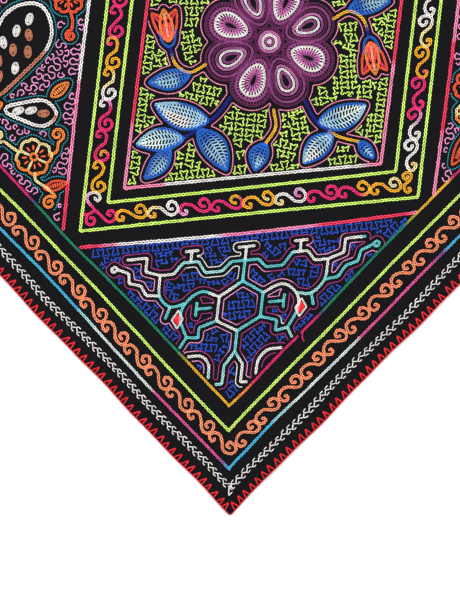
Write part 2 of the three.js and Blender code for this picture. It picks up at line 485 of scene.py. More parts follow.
def patches(polygon, spacing):
    """Scattered middles of patches over a polygon."""
    low, high = polygon.min(0) - spacing / 2, polygon.max(0) + spacing / 2
    x, y = np.meshgrid(np.arange(low[0], high[0], spacing), np.arange(low[1], high[1], spacing))
    middles = np.stack([x.ravel(), y.ravel()], -1)
    return middles + random.uniform(-0.3, 0.3, middles.shape) * spacing


class Ground:
    """A fill of meanders in what is free of a field's polygon. It keeps a clearance from the drawn lines and
    a margin from the sides, and each leg is as long as it has room for."""

    def __init__(self, piece, field, colour, width, clearance, margin, leg, half, ear, dip):
        self.piece, self.field, self.polygon = piece, field, field.polygon
        self.colour, self.width, self.clearance, self.margin = colour, width, clearance, margin
        self.leg, self.half, self.ear, self.dip = leg, half, ear, dip
        self.sewn = Field(field.polygon, reach=4.2)

    def sew(self, line):
        fine(self.piece, line, self.colour, width=self.width, pitch=1.9, start=random.uniform(0, 400))
        self.sewn.line(line)

    def free(self, points, gap):
        """Which points have room, with a gap to what is sewn."""
        good = inside(points, self.polygon)
        good[good] = edge_distance(points[good], self.polygon) > self.margin
        good[good] = (self.field.at(points[good]) > self.clearance) & (self.sewn.at(points[good]) > gap)
        return good

    def row(self, origin, axis, stations, size=1.0, gap=2.0, least=0.40, middles=None, index=None):
        """Sews meanders in a row of stations. With middles, it stays where the one of that index is
        nearest."""
        across = leftward(axis)
        up = np.arange(-self.leg * size / 2, self.leg * size / 2 + 0.01, 0.4)
        points = origin + stations[:, None, None] * axis + up[None, :, None] * across
        good = self.free(points, gap)
        if middles is not None:
            good &= np.hypot(*np.moveaxis(points[..., None, :] - middles, -1, 0)).argmin(-1) == index
        run = []
        for station, column in [*zip(stations, good), (0.0, np.zeros(len(up), bool))]:
            marks = np.flatnonzero(np.diff(np.r_[0, column.astype(int), 0]))
            spans = zip(marks[::2], marks[1::2] - 1)
            low, high = max(spans, key=lambda span: span[1] - span[0], default=(0, 0))
            low, high = up[low], up[high]
            tall = high - low >= least * self.leg
            shared = min(high, run[-1][2]) - max(low, run[-1][1]) if run else 0.0
            if run and not (tall and shared > (least - 0.06) * self.leg):
                if len(run) > 1:
                    line = meander(zigzag(run), self.half * size, self.ear * size, self.dip * size)
                    self.sew(origin + line[:, :1] * axis + line[:, 1:] * across)
                run = []
            if tall:
                run.append((station, low, high))

    def side_rows(self):
        for a, b in sides_of(self.polygon):
            run, inward = direction(a, b)
            inward = inward * np.sign((self.polygon.mean(0) - a) @ inward)
            middle = (a + b) / 2 + inward * (self.margin + 0.2 + self.leg / 2)
            size = np.hypot(*(b - a))
            self.row(middle, run, np.arange(-size / 2, size / 2, self.half))

    def slope(self, middle, spacing):
        """Which way the nearest drawn line lies, or else the nearest side."""
        probe = middle + np.array([(2.5, 0), (-2.5, 0), (0, 2.5), (0, -2.5)])
        near_line, near_side = self.field.at(probe), edge_distance(probe, self.polygon)
        if near_line.max() < self.field.reach - 0.5:
            return np.array([near_line[0] - near_line[1], near_line[2] - near_line[3]])
        if near_side.min() < spacing * 0.6:
            return np.array([near_side[0] - near_side[1], near_side[2] - near_side[3]])
        return np.zeros(2)

    def patch_rows(self, spacing, angle, spread, pitch):
        """Sews rows in scattered patches, most of which follow the nearest line."""
        middles = patches(self.polygon, spacing)
        reach = spacing * 1.1
        for index, middle in enumerate(middles):
            turn = angle + (pi / 2) * random.integers(0, 2) + random.uniform(-spread, spread)
            slope = self.slope(middle, spacing)
            if np.hypot(*slope) > 2.5 and random.uniform() < 0.8:
                turn = np.arctan2(slope[1], slope[0]) + pi / 2
            axis = heading(turn)
            stations = np.arange(-reach, reach, self.half)
            for offset in np.arange(-reach, reach, pitch):
                origin = middle + offset * leftward(axis)
                self.row(origin, axis, stations, middles=middles, index=index)

    def spots(self, tries):
        """Random places with room round them."""
        places = random.uniform(self.polygon.min(0), self.polygon.max(0), (tries, 2))
        return places[self.free(places, SPOT_GAP)]

    def short_rows(self):
        for count, size, tries in SHORT_ROWS:
            for spot in self.spots(tries):
                if self.sewn.at(spot) > SPOT_GAP:
                    axis = heading(random.uniform(0, tau))
                    stations = self.half * size * (np.arange(count) - (count - 1) / 2)
                    self.row(spot, axis, stations, size, gap=1.95, least=0.32)

    def hooks(self):
        for size, tries in HOOKS:
            for spot in self.spots(tries):
                line = spot + hook(size)
                if self.free(line, 1.9).all():
                    self.sew(line)

    def fill(self, spacing, angle, spread, pitch):
        self.side_rows()
        self.patch_rows(spacing, angle, spread, pitch)
        self.short_rows()
        self.hooks()


SHORTEST_LINE, CLOSED_GAP = 5.0, 3.0  # of the thin lines: the least length, and a gap that counts as closed


def outlines(piece, field, distance, margin, colour, width=1.1, pitch=2.4, shape=FINE):
    """Sews the thin lines that keep a distance from all that is drawn in a field."""
    for line in field.contours(distance):
        keep = inside(line, field.polygon)
        keep[keep] = edge_distance(line[keep], field.polygon) > margin
        closed = keep.all() and np.hypot(*(line[0] - line[-1])) < CLOSED_GAP
        for stretch in [line] if closed else kept_runs(line, keep, SHORTEST_LINE):
            fine(piece, stretch, colour, width, pitch, closed, start=random.uniform(0, 600), shape=shape)


# Rows of the border: on each kind of side their distance from it, how far they stray from that at every
# station from a corner to the middle, and their yarn
SWAY_STEP = 49.0
BORDER_ROWS = {
    "sea": {
        "width": 2.8, "pitch": 3.8,
        "short": (30.9, [0.7, 0.2, -0.1, -0.6, 0.3, 1.8, 2.6],
                  runs((0, "sky"), (5, "violet"), (13, "pink"), (107, "pale"), (193, "aqua"), (213, "sky"),
                       (330, "violet"), (350, "pink"), (440, "pale"))),
        "long": (32.4, [-0.9, 1.2, 2.3, 0.9, 0.2, 0.1, 1.1],
                 runs((0, "sky"), (62, "aqua"), (86, "pale"), (178, "pink"), (286, "violet"), (300, "sky"),
                      (400, "aqua"), (430, "pale"), (520, "pink"), (630, "sky"))),
    },
    "lime": {
        "width": 3.05, "pitch": 3.8,
        "short": (57.6, [0.0, -0.6, -0.9, -0.4, 0.8, 1.9, 1.7], plain("lime")),
        "long": (58.4, [0.0, 1.1, 1.9, 2.2, 1.9, 2.5, 3.2], plain("lime")),
    },
    "rainbow": {
        "width": 2.6, "pitch": 3.45,
        "short": (73.6, [-0.7, 0.2, 0.6, 1.0, 1.5, 1.0, -0.5],
                  runs((0, "yellow"), (58, "olive"), (68, "green"), (273, "plum"), (282, "magenta"),
                       (360, "rose"), (380, "yellow"), (410, "green"))),
        "long": (76.0, [0.2, 1.0, -0.4, 0.8, 0.6, 2.0, 2.9],
                 runs((0, "yellow"), (9, "orange"), (27, "rose"), (38, "magenta"), (124, "plum"),
                      (130, "green"), (250, "olive"), (262, "yellow"), (310, "magenta"), (400, "plum"),
                      (410, "green"))),
    },
}
# Where the thread of the rainbow row ends and begins anew on a long side, and the short tail that it leaves
# there: lengths past that place, and to the left
THREAD_END, THREAD_GAP = 98.0, 3.5
TAIL = [(5.0, -1.0), (2.0, -3.0), (0.5, -6.0), (-0.5, -8.5)]


def sway(table, station, side):
    """How far a row strays at a station of its side."""
    entry = np.clip(np.minimum(station, side - station) / SWAY_STEP, 0, len(table) - 1.001)
    index = entry.astype(int)
    share = entry - index
    share = share * share * (3 - 2 * share)
    table = np.array(table)
    return table[index] * (1 - share) + table[index + 1] * share


def border_row(row):
    """The two sides of a border row that meet in the lowest corner: their points, going away from it."""
    short_inset, short_sway, _ = row["short"]
    long_inset, long_sway, _ = row["long"]
    corner_x, corner_y = short_inset + short_sway[0], long_inset + long_sway[0]
    y = np.linspace(corner_y, WIDTH - corner_y, 200)
    x = np.linspace(corner_x, LENGTH - corner_x, 200)
    short_side = place(short_inset + sway(short_sway, y, WIDTH), y)
    long_side = place(x, long_inset + sway(long_sway, x, LENGTH))
    return short_side, long_side


def make_border_rows():
    piece = Stitching("border_rows")
    for name, row in BORDER_ROWS.items():
        width, pitch = row["width"], row["pitch"]
        short_side, long_side = border_row(row)
        for turn in (1, -1):
            chain(piece, turn * short_side, row["short"][2], width, pitch)
            if name != "rainbow":
                chain(piece, turn * long_side, row["long"][2], width, pitch)
                continue
            path = Path(turn * long_side)
            for start, end in ((0, THREAD_END), (THREAD_END + THREAD_GAP, path.length)):
                chain(piece, path.at(np.arange(start, end, 0.8)), row["long"][2], width, pitch, start=start)
            past, left = np.array(TAIL).T
            tail = curve(path.at(THREAD_END + past, left))
            fine(piece, tail, plain("magenta"), width=1.5, pitch=8, rise=0.9)
    return piece


# One scroll of the border, walked with the cloth's middle on the left: a small curl, a crest, a trough and a
# big curl
SCROLL = [(5.3, -2.5), (7.0, -4.2), (6.4, -6.3), (3.4, -6.3), (0.6, -4.6), (0.0, -2.0), (1.9, 0.7),
          (4.7, 2.7), (8.3, 2.7), (12.1, 1.5), (15.3, -1.6), (19.0, -4.6), (23.1, -5.9), (27.0, -4.9),
          (29.0, -1.8), (28.8, 1.7), (26.8, 4.9), (23.7, 6.4), (20.9, 5.4), (19.2, 2.5), (20.2, 0.5),
          (22.5, -0.8), (24.5, 0.0)]
# The same on the long sides, where the crest is higher
LONG_SCROLL = [(5.6, -1.9), (7.9, -2.6), (7.6, -5.3), (5.0, -6.1), (2.0, -5.0), (0.6, -2.2), (1.2, 1.0),
               (4.0, 3.8), (8.9, 4.7), (13.4, 3.2), (16.9, -0.2), (20.3, -3.9), (24.4, -5.4), (28.1, -4.0),
               (29.4, -0.4), (28.4, 3.4), (25.6, 5.6), (22.4, 5.4), (20.4, 3.1), (21.4, 0.9), (24.2, 0.7)]
SCROLL_PITCH, FIRST_LONG_PITCH, LONG_PITCH = 31.1, 29.7, 31.4
SHORT_SIDE_LATE = 4.6  # how much later the last scrolls of a short side start than their pitch says
SCROLL_AFTER_CORNER, SCROLL_BEFORE_CORNER = 7.2, 24.0
SCROLL_CORNER_ROOM = 11  # how much of a side its corners take up when its scrolls are counted
SCROLL_INSET, SCROLL_CORNER_RADIUS = 44.1, 9.0
LONG_SIDE_INWARD, SHORT_SIDE_INWARD = 2.4, 1.3


def scroll_on(path, start, size=1.0, shape=SCROLL, inward=0.0):
    """A scroll laid on a path, a little unlike its neighbours."""
    shape = np.array(shape) * size
    shape = curve(shape + random.standard_normal(shape.shape) * 0.22)
    return path.at(start + shape[:, 0], shape[:, 1] + inward + random.uniform(-0.5, 0.5))


def rounded_ring(corners, radius):
    """The closed line through corners, each rounded."""
    points = []
    corners = np.asarray(corners, float)
    for before, here, after in zip(np.roll(corners, 1, axis=0), corners, np.roll(corners, -1, axis=0)):
        arriving, leaving = here - before, after - here
        arriving, leaving = arriving / np.hypot(*arriving), leaving / np.hypot(*leaving)
        t = np.linspace(0, 1, 12)[:, None]
        a, b = here - arriving * radius, here + leaving * radius
        points.append((1 - t) ** 2 * a + 2 * t * (1 - t) * here + t**2 * b)
    return np.vstack(points)


def scroll_starts(first, last, count, on_long_side):
    """Where a side's scrolls start. They keep their pitch near the corner in the photo, and the rest of the
    side evens out what is left."""
    half = count // 2
    if on_long_side:
        held = first + np.array([0, FIRST_LONG_PITCH, FIRST_LONG_PITCH + LONG_PITCH * (half - 1)])
        return np.interp(np.arange(count), [0, 1, half, count - 1], [*held, last])
    held = last - np.array([SCROLL_PITCH * (count - 1 - half) - SHORT_SIDE_LATE,
                            SCROLL_PITCH * 4 - SHORT_SIDE_LATE, 0])
    return np.interp(np.arange(count), [0, half, count - 5, count - 1], [first, *held])


def make_border_scroll():
    piece = Stitching("border_scroll")
    corners = corners_at(SCROLL_INSET)
    ring = rounded_ring(corners, SCROLL_CORNER_RADIUS)
    # The path starts just before the first corner and ends past the second. A side starts at its corner's
    # middle, which is looked for before the path comes round to it again.
    total = Path(ring, closed=True).length
    path = Path(np.vstack([ring, ring[:24]]))
    first_lap = path.along < total - 60
    along, points = path.along[first_lap], path.points[first_lap]
    stations = [along[np.hypot(*(points - corner).T).argmin()] for corner in corners]
    for side, (station, end) in enumerate(zip(stations, [*stations[1:], stations[0] + total])):
        count = round((end - station - SCROLL_CORNER_ROOM) / SCROLL_PITCH)
        first, last = station + SCROLL_AFTER_CORNER, end - SCROLL_BEFORE_CORNER
        on_long_side = side % 2 == 0
        for k, start in enumerate(scroll_starts(first, last, count, on_long_side)):
            if on_long_side:
                line = scroll_on(path, start, shape=LONG_SCROLL, inward=LONG_SIDE_INWARD * min(1, k + 0.2))
            else:
                line = scroll_on(path, start, inward=SHORT_SIDE_INWARD if k < count - 7 else 0.0)
            chain(piece, line, plain("coral"), width=3.2, pitch=3.3)
    return piece


# The rows round the middle, by two of their corners in the design. The other two are half a turn away.
LIME_OUTER = ((87.3, 300.7), (349.5, 89.2))
LIME_INNER = ((126.6, 301.1), (351.3, 122.6))
PANEL_EDGE = ((147.7, 299.5), (346.0, 138.1))
# The rows that cut off the corners: from, to, how far they bow out to the right, and their yarn
CORNER_ROWS = [
    ((76.1, 289.8), (338.5, 79.3), 2.9,
     runs((0, "rose"), (20, "soft pink"), (36, "white"), (138, "soft pink"), (233, "rose"),
          (325, "soft pink"))),
    ((361.8, 79.5), (623.9, 286.8), 1.2,
     runs((0, "soft pink"), (60, "rose"), (152, "soft pink"), (240, "white"))),
    ((623.9, 310.2), (361.5, 520.7), 2.9,
     runs((0, "white"), (60, "soft pink"), (150, "rose"), (240, "soft pink"), (300, "white"))),
    ((76.1, 313.2), (338.2, 520.5), -2.4,
     runs((0, "rose"), (46, "soft pink"), (146, "white"), (250, "soft pink"))),
]
PANEL_RUNS = [
    runs((0, "soft pink"), (38, "white"), (236, "soft pink")),
    runs((0, "soft pink"), (98, "rose"), (190, "soft pink")),
    runs((0, "white"), (60, "soft pink"), (160, "rose")),
    runs((0, "rose"), (190, "rose"), (200, "soft pink")),
]
FRAME_SCROLL_YARN = cycle(
    [(0, "hot pink"), (122, "gold"), (212, "cream"), (232, "white"), (280, "lilac")], 292)
# The second side's yarn, which keeps its white longer
SECOND_SIDE_YARN = runs(
    (0, "gold"), (50, "cream"), (66, "white"), (160, "lilac"), (174, "hot pink"), (282, "gold"),
    (368, "cream"), (396, "white"), (478, "lilac"), (490, "hot pink"), (600, "gold"), (690, "white"))


def rhombus(corners):
    """The four corners of a rhombic row, in the cloth's plane: left, low, right and top in the photo."""
    half = place(*np.array(corners).T)
    return np.vstack([half, -half])


def bowed(start, end, bow):
    """A line that bows out to the right."""
    share = np.linspace(0, 1, 80)[:, None]
    _, left = direction(start, end)
    return start + (end - start) * share - left * bow * np.sin(pi * share)


def make_frame_rows():
    piece = Stitching("frame_rows")
    for start, end, bow, colour in CORNER_ROWS:
        chain(piece, bowed(place(*start), place(*end), bow), colour)
    for corners in (LIME_OUTER, LIME_INNER):
        for a, b in sides_of(rhombus(corners)):
            chain(piece, bowed(a, b, random.uniform(-0.6, 0.9)), plain("lime"), width=3.35)
    for (a, b), colour in zip(sides_of(rhombus(PANEL_EDGE)), PANEL_RUNS):
        chain(piece, bowed(a, b, random.uniform(-0.4, 0.6)), colour, width=3.45)
    return piece


# What turns two of the frame's corners: lengths along the side from its end, and to the left of it
FRAME_CURL = [(-19, -2), (-15.7, 1.4), (-19.3, 3.8), (-23, 1), (-23.6, -3.5), (-21.4, -8), (-17.3, -9),
              (-13, -7), (-9.5, -2.5), (-6, 0.3)]
FRAME_BRANCH = [(-1, -10.5), (-1.6, -6), (-4.4, -2.4), (-5.9, 0.3), (-3.5, 4.5), (0, 9), (2.9, 13.3),
                (3, 16.8), (-0.3, 20.3), (-4.8, 20.4), (-7.9, 17.1), (-7.4, 13.7), (-3.9, 13), (-3.3, 16.5)]
FRAME_LOOP = [(-1.1, -6.6), (2.5, -7.5), (6.9, -6.2), (8.2, -2.6), (6.1, 0.6), (2.1, 0.6), (0.8, -2.4),
              (2.6, -3.8)]
FRAME_SCROLL_PITCH, FRAME_SCROLL_SIZE = 30.5, 1.03
# How far from its side's ends the first scroll and the last one start, by whether the side turns at its end
FRAME_SCROLL_ENDS = {True: (14.0, 54.6), False: (21.5, 36.0)}
SMALL_SCROLL_START, SMALL_SCROLL_SIZE = -8.0, 0.68
# How much of the yarn is used where a side starts, and where the last scroll of the fourth one does
YARN_USED, YARN_USED_LAST = 127.0, 124.0
# The lines of a turned corner, and how much of the yarn is used where each starts
TURN_LINES = ((FRAME_CURL, 258.0), (FRAME_BRANCH, 5.0), (FRAME_LOOP, 5.0))


def make_frame_scroll():
    piece = Stitching("frame_scroll")
    middle = (rhombus(LIME_OUTER) + rhombus(LIME_INNER)) / 2
    for side, (a, b) in enumerate(sides_of(middle)):
        path = Path(np.vstack([a, b]))
        turning = side % 2 == 1
        after, before = FRAME_SCROLL_ENDS[turning]
        first, last = after, path.length - before
        count = round((last - first) / FRAME_SCROLL_PITCH) + 1
        used = YARN_USED
        yarn = SECOND_SIDE_YARN if side == 1 else FRAME_SCROLL_YARN
        if turning:
            small = scroll_on(path, SMALL_SCROLL_START, SMALL_SCROLL_SIZE)
            used = chain(piece, small, yarn, width=3.1, pitch=3.2)
        if side == 3:
            used = YARN_USED_LAST - (count - 1) * Path(scroll_on(path, first, FRAME_SCROLL_SIZE)).length
        for start in np.linspace(first, last, count):
            line = scroll_on(path, start, FRAME_SCROLL_SIZE)
            used = chain(piece, line, yarn, width=3.2, pitch=3.3, start=used)
        if turning:
            into, left = direction(a, b)
            for shape, start in TURN_LINES:
                line = curve([b + into * x + left * y for x, y in shape])
                chain(piece, line, FRAME_SCROLL_YARN, width=3.1, pitch=3.2, start=start)
    return piece


TOOTH_PITCH, TOOTH_BASE, TOOTH_HEIGHT, TOOTH_START, TOOTH_ROOM = 8.5, 5.4, 8.2, 5.0, 8
FEATHER_MIDDLE, FEATHER_BEND, FEATHER_REACH, FEATHER_ARM, FEATHER_STEP = 18.2, 1.4, 3.0, 3.5, 0.9
FEATHER_START, FEATHER_PERIODS = 19.0, (7.7, 7.1)


def sides():
    """The four sides of the cloth, walked with the middle on the left: start, end and inward direction."""
    for a, b in sides_of(corners_at(0)):
        yield a, b, *direction(a, b)


def feather_corner(corner, run, inward):
    """A long pointed stitch and a short one, which join the feather rows in a corner."""
    across, up = (run - inward) / 2**0.5, (run + inward) / 2**0.5
    point = corner - across * 1.0 + up * 19.4
    return [(corner - across * 0.6 + up * 28.3, point), (corner + across * 2.8 + up * 23.2, point),
            (corner - across * 1.5 + up * 29.0, corner + across * 3.6 + up * 26.8)]


def make_feather_stitch():
    piece = Stitching("feather_stitch")
    stitches = []
    for side, (a, b, run, inward) in enumerate(sides()):
        length = np.hypot(*(b - a))
        period = FEATHER_PERIODS[side % 2]
        last_bend = None
        for k in range(int((length - 2 * FEATHER_START) / period * 2)):
            at = FEATHER_START + k * period / 2 + random.normal(0, 0.25)
            toward = 1 if k % 2 else -1
            drift = 0.7 * sin(at / 23 + side) + 0.5 * sin(at / 61 + 2 * side)
            level = FEATHER_MIDDLE + drift + random.normal(0, 0.2)
            bend = a + run * at + inward * (level + toward * FEATHER_BEND)
            knee_inset = level + toward * (FEATHER_REACH + random.normal(0, 0.15))
            knee = a + run * (at + FEATHER_STEP) + inward * knee_inset
            arm = FEATHER_ARM * random.uniform(0.85, 1.15)
            tip_inset = level + toward * (FEATHER_REACH + random.normal(0, 0.3))
            tip = a + run * (at + FEATHER_STEP + arm) + inward * tip_inset
            if last_bend is not None:
                stitches.append((last_bend, bend))
            stitches += [(bend, knee), (knee, tip)]
            last_bend = bend
        stitches += feather_corner(a, run, inward)
    straight(piece, *zip(*stitches), YARN["white"], width=1.0, rise=0.85)
    return piece


def rim(turn):
    """How far the edge waves outwards and lifts, at a share of a turn round the outline."""
    angle = turn * tau
    wave = EDGE_WAVE * (np.sin(19 * angle + 0.8) + 0.5 * np.sin(43 * angle))
    lift = BAND_LIFT * (0.5 + 0.5 * np.sin(13 * angle + 1.7 * np.sin(4 * angle)))
    return wave, lift


OUTLINE_PARTS = (34, 40, 34, 40)  # into how many parts the outline's sides are cut, from the one at +X round
CORNER_PARTS = 3.0  # the same for each rounded corner


def side_insets(x, y):
    """How far points of the design lie in from each side: +X, +Y, -X, -Y."""
    return np.stack([LENGTH - x, WIDTH - y, x, y], -1)


def turn_at(x, y):
    """The share of a turn round the outline of the point on it that is nearest to a point of the design."""
    side = side_insets(x, y).argmin(-1)
    share = np.choose(side, [y / WIDTH, 1 - x / LENGTH, 1 - y / WIDTH, x / LENGTH])
    parts = np.array(OUTLINE_PARTS) + CORNER_PARTS
    starts = np.r_[0, np.cumsum(parts)[:-1]]
    return (starts[side] + CORNER_PARTS + share * (parts[side] - CORNER_PARTS)) / parts.sum()


def rim_shift(x, y):
    """The edge's wave and lift for points of the design: along X, along Y and up."""
    insets = side_insets(x, y)
    loose = np.clip(1 - insets.min(-1) / BAND_WIDTH, 0, 1)
    wave, lift = rim(turn_at(x, y))
    outward = np.array([(1, 0), (0, 1), (-1, 0), (0, -1)])[insets.argmin(-1)]
    return outward[..., 0] * wave * loose, outward[..., 1] * wave * loose, lift * loose**2


def hem_height(inset):
    """How high the top lies over the underside at an inset."""
    return np.interp(inset, [0.0, 0.8, HEM_WIDTH, HEM_WIDTH + HEM_SLOPE],
                     [HEM_THICKNESS / 2, HEM_THICKNESS, HEM_THICKNESS, FACE])


def make_edge_stitch():
    piece = Stitching("edge_stitch")
    stitches, edge_line = [], []
    for a, b, run, inward in sides():
        length = np.hypot(*(b - a))
        count = round((length - TOOTH_ROOM) / TOOTH_PITCH)
        for k in range(count):
            station = TOOTH_START + (k + 0.5) * (length - 2 * TOOTH_START) / count + random.normal(0, 0.35)
            base = TOOTH_BASE * random.uniform(0.85, 1.1)
            tip = station + random.normal(0.9, 0.5)
            height = TOOTH_HEIGHT + random.normal(0, 0.35)
            apex = a + run * tip + inward * height
            for shift in (-base / 2, base / 2):
                foot = a + run * (station + shift) + inward * 0.2
                stitches.append((foot, apex + run * np.sign(shift) * 0.15))
        edge_line += [a + run * 1.5 + inward * 0.35, b - run * 1.5 + inward * 0.35]
    straight(piece, *zip(*stitches), YARN["red"], width=1.3, rise=1.2)
    fine(piece, edge_line, plain("red"), width=1.3, pitch=4.3, closed=True, rise=1.1)
    return piece


def lift_by_rim(vertices):
    """Moves what is sewn near the edge with the edge's own wave, lift and hem."""
    y = vertices[:, 1] + WIDTH / 2
    x = vertices[:, 0] + LENGTH / 2 - vertices[:, 1] * LEAN
    shift_x, shift_y, lift = rim_shift(np.clip(x, 0, LENGTH), np.clip(y, 0, WIDTH))
    hem = hem_height(np.maximum(side_insets(x, y).min(-1), 0)) - FACE
    return vertices + np.stack([shift_x, shift_y, lift + hem], -1)


def leaf_shape(base, tip, half_width, bend):
    """A leaf's middle line and its two outlines, from its stalk to its point, in the photo's directions."""
    base, tip = np.array(base, float), np.array(tip, float)
    u = np.linspace(0, 1, 25)[:, None]
    _, left = direction(base, tip)
    middle = base + (tip - base) * u + left * bend * 4 * u * (1 - u)
    half = half_width * np.sin(pi * u**0.9) ** 0.85
    return middle, middle + left * half, middle - left * half


# Yarns of a leaf: its outline, its inside, and the light place inside
LEAF_YARNS = {
    "deep": ("mid blue", "mid blue", "light blue"),
    "pale": ("mid blue", "light blue", "white"),
    "sky": ("mid blue", "light blue", "pale"),
}
LEAF_BAR_PITCH, LEAF_BAR_SLANT = 3.2, 2.2


def leaf(piece, field, base, tip, half_width, yarn, bend):
    """A leaf of close outlines and a midrib. The thin rows between them are joined by slanted bars, which
    leave small dark holes."""
    middle, one, other = (picture(line) for line in leaf_shape(base, tip, half_width, bend))
    rim_tone, near, far = LEAF_YARNS[yarn]
    size = np.hypot(*(middle[-1] - middle[0]))
    u = np.linspace(0, 1, len(middle))
    core = random.uniform(0.45, 0.8)

    def tone(share, out, strength=1.0):
        glow = np.exp(-((np.asarray(share) - core) / 0.30) ** 2) * (1 - 0.4 * out)
        light = np.clip(1.9 * glow - 0.35, 0, 1) * strength
        return YARN[near] * (1 - light[..., None]) + YARN[far] * light[..., None]

    def point(line, share):
        return np.array([np.interp(share, u, line[:, k]) for k in (0, 1)])

    levels = max(1, round((half_width - 2.0) / 3.9))
    starts, ends, tones = [], [], []
    for edge, strength in ((one, 1.0), (other, random.uniform(0.15, 0.9))):
        wide = np.hypot(*(edge - middle).T)
        for level in range(levels):
            inner, outer = (middle + (edge - middle) * (level + k) / levels for k in (0, 1))
            for share in np.arange(0.03, 0.95, LEAF_BAR_PITCH / size):
                foot, head = point(inner, share), point(outer, share + LEAF_BAR_SLANT / size)
                if np.hypot(*(head - foot)) > 1.7:
                    starts.append(foot)
                    ends.append(head)
                    tones.append(tone(share, (level + 0.5) / levels, strength))
            roomy = np.flatnonzero(wide / levels > 1.9)
            if level and len(roomy) > 4:
                first = u[roomy[0]]

                def colour(along):
                    return tone(along / size + first, level / levels, strength)

                fine(piece, inner[roomy[0]:roomy[-1] + 1], colour, pitch=2.8, rise=0.85)
    straight(piece, starts, ends, np.array(tones), width=1.2, rise=0.75)
    chain(piece, middle[1:-1], lambda along: tone(along / size, 0.0), width=1.8, pitch=3.0, rise=0.9)
    chain(piece, other, runs((0, rim_tone), (size * random.uniform(0.6, 0.9), near)), width=3.0, pitch=3.2)
    chain(piece, one, plain(rim_tone), width=3.0, pitch=3.2)
    field.solid(np.vstack([one, other[::-1]]))


def stem(piece, field, points, colour):
    """A stalk of one row."""
    line = picture(curve(points))
    chain(piece, line, colour, width=3.2, pitch=3.6)
    field.line(line)


def oval(middle, long, wide, angle):
    t = np.linspace(0, tau, 40, endpoint=False)
    return np.array(middle) + rotated(long * np.cos(t), wide * np.sin(t), angle)


def petal_outline(angle, inner, outer, half_width, inset):
    """A petal's outline, drawn in by an inset, in the photo's directions."""
    t = np.linspace(0, tau, 48, endpoint=False)
    middle, half = (inner + outer) / 2, (outer - inner) / 2 - inset * 1.15
    along = middle + half * np.cos(t)
    across = (half_width - inset) * np.sin(t) * (1 + 0.28 * np.cos(t))
    return rotated(along, across, angle)


ROSETTE_PETALS = 8
ROSETTE_RADII = (15.0, 66.0)
PETAL_HALF_WIDTH = 19.0
# The rows of a close petal and of an open one, from the outline in: how far apart, and their tones
CLOSE_PETAL = 3.05, ("dark purple", "mauve", "dark purple", "orchid", "white", "mauve")
OPEN_PETAL = 4.0, ("dark purple", "mauve", "white", "orchid", "mauve")
PETAL_BAR_PITCH = 3.3
EYE_ROWS = ((13.0, "dark purple"), (9.9, "orchid"), (6.8, "white"), (3.6, "mauve"), (1.2, "white"))


def rosette(piece, field):
    """The flower in the middle: petals of close rows and petals of open net in turn, and a round eye."""
    inner, outer = ROSETTE_RADII
    for index in range(ROSETTE_PETALS):
        angle = tau * (index + 0.5) / ROSETTE_PETALS
        is_open = index % 2 == 1
        step, tones = OPEN_PETAL if is_open else CLOSE_PETAL
        before = None
        for row, tone in enumerate(tones):
            inset = row * step
            if PETAL_HALF_WIDTH - inset < 1.6:
                break
            line = picture(petal_outline(angle, inner, outer, PETAL_HALF_WIDTH, inset))
            colour = cycle([(0, tone), (46, "mauve" if tone == "orchid" else tone)], 92)
            if not is_open:
                chain(piece, line, colour, width=2.4, pitch=3.3, closed=True, rise=0.85)
                continue
            chain(piece, line, colour, width=2.3 if row else 3.0, pitch=3.2, closed=True, rise=0.85)
            here = Path(line, closed=True)
            if before is not None:
                share = np.arange(0, 1, PETAL_BAR_PITCH / before.length)
                straight(piece, before.at(share * before.length), here.at(share * here.length),
                         YARN[tones[row - 1]], width=1.2, rise=0.7)
            before = here
        field.solid(picture(petal_outline(angle, inner, outer, PETAL_HALF_WIDTH, 0)))
    circle = oval((0, 0), 1, 1, 0)
    for radius, tone in EYE_ROWS:
        chain(piece, picture(circle * radius), plain(tone), width=2.8, pitch=2.9, closed=True, rise=0.9)
    field.solid(picture(circle * EYE_ROWS[0][0]))


BUD_CUP = [(-0.75, 0.42), (-0.5, 0.1), (0, -0.02), (0.5, 0.1), (0.75, 0.42)]


def tulip(piece, field, base, tip, half_width):
    """A bud of three pointed leaves of warm colours on a blue cup."""
    base, tip = np.array(base, float), np.array(tip, float)
    run = tip - base
    _, left = direction(base, tip)
    for side, tone, inner_tone in ((-1, "scarlet", "rose"), (1, "scarlet", "rose"), (0, "orange", "peach")):
        end = tip + left * side * half_width * 1.1 - run * 0.06 * abs(side)
        start = base + run * 0.12
        lines = leaf_shape(start, end, half_width * 0.55, -side * 2.0)
        middle, one, other = (picture(line) for line in lines)
        shape = np.vstack([one, other[::-1]])
        chain(piece, shape, plain(tone), width=2.6, pitch=3.0, closed=True)
        chain(piece, middle[3:-3], plain(inner_tone), width=2.4, pitch=2.9)
        field.solid(shape)
    line = picture(curve([base + left * half_width * x + run * y for x, y in BUD_CUP]))
    chain(piece, line, plain("mid blue"), width=2.8, pitch=3.1)
    field.line(line)


